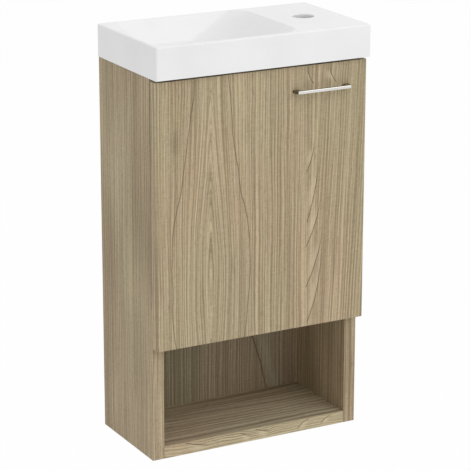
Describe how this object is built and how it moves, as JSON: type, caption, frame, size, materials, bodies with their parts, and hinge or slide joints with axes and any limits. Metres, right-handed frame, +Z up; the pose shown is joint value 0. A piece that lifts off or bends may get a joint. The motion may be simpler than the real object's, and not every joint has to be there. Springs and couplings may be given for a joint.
{
  "type": "vanity unit",
  "caption": "Wall-hung slimline vanity unit: white basin with a side tap deck on a wood-decor cabinet with a hinged door and an open niche.",
  "frame": {"origin": "on the wall plane, midway across, at the middle of the base panel's rear edge, 11 mm above the cabinet's underside", "axes": "+X to the right seen from the front, +Y into the wall, +Z up"},
  "size_m": [0.4, 0.225, 0.715],
  "materials": {
    "white_ceramic": "satin gloss white",
    "wood_decor": "matte grey-brown elm decor with fine upright grain",
    "polished_chrome": "polished chrome plate",
    "nickel_steel": "nickel-plated pressed steel",
    "zinc_plated_steel": "zinc-plated steel",
    "cast_zinc": "die-cast zinc, dull",
    "white_plastic": "moulded white plastic",
    "clear_rubber": "translucent soft rubber",
    "beech_dowel": "plain fluted beech"
  },
  "bodies": {
    "cabinet": {"basin": "white_ceramic", "left_side_panel": "wood_decor", "right_side_panel": "wood_decor", "base_panel": "wood_decor", "middle_shelf": "wood_decor", "niche_back_panel": "wood_decor", "rear_hanging_rail": "wood_decor", "front_top_rail": "wood_decor", "cupboard_shelf": "wood_decor", "shelf_pins": "nickel_steel", "dowels": "beech_dowel", "cam_locks": "cast_zinc", "cam_bolts": "zinc_plated_steel", "hanger_housings": "white_plastic", "hanger_hooks": "zinc_plated_steel", "hanger_adjusting_screws": "zinc_plated_steel", "hanger_screws": "zinc_plated_steel", "hinge_mounting_plates": "nickel_steel", "mounting_plate_screws": "zinc_plated_steel", "hinge_arms": "nickel_steel", "hinge_arm_screws": "zinc_plated_steel", "hinge_arm_pins": "zinc_plated_steel"},
    "door": {"door_panel": "wood_decor", "door_handle": "polished_chrome", "handle_screws": "zinc_plated_steel", "door_bumpers": "clear_rubber", "hinge_cups": "nickel_steel", "hinge_cup_screws": "zinc_plated_steel", "hinge_cup_pins": "zinc_plated_steel"},
    "upper_outer_link": {"upper_hinge_outer_link": "nickel_steel"},
    "upper_inner_link": {"upper_hinge_inner_link": "nickel_steel"},
    "lower_outer_link": {"lower_hinge_outer_link": "nickel_steel"},
    "lower_inner_link": {"lower_hinge_inner_link": "nickel_steel"}
  },
  "joints": [
    {"name": "upper_outer_link_pivot", "type": "hinge", "parent": "cabinet", "child": "upper_outer_link", "pos_m": [-0.1591, -0.1669, 0.564], "axis": [0, 0, 1], "range_deg": [0, 27.41]},
    {"name": "door_swing", "type": "hinge", "parent": "upper_outer_link", "child": "door", "pos_m": [-0.1868, -0.1935, 0.564], "axis": [0, 0, -1], "range_deg": [0, 117.36]},
    {"name": "upper_inner_link_pivot", "type": "hinge", "parent": "cabinet", "child": "upper_inner_link", "pos_m": [-0.165, -0.187, 0.564], "axis": [0, 0, 1], "range_deg": [0, 39.02]},
    {"name": "lower_outer_link_pivot", "type": "hinge", "parent": "cabinet", "child": "lower_outer_link", "pos_m": [-0.1591, -0.1669, 0.269], "axis": [0, 0, 1], "range_deg": [0, 27.41]},
    {"name": "lower_inner_link_pivot", "type": "hinge", "parent": "cabinet", "child": "lower_inner_link", "pos_m": [-0.165, -0.187, 0.269], "axis": [0, 0, 1], "range_deg": [0, 39.02]}
  ],
  "couplings": [
    {"joint": "upper_outer_link_pivot", "follows": "door_swing", "ratio": 0.23313},
    {"joint": "upper_inner_link_pivot", "follows": "door_swing", "ratio": 0.33205},
    {"joint": "lower_outer_link_pivot", "follows": "door_swing", "ratio": 0.23313},
    {"joint": "lower_inner_link_pivot", "follows": "door_swing", "ratio": 0.33205}
  ]
}
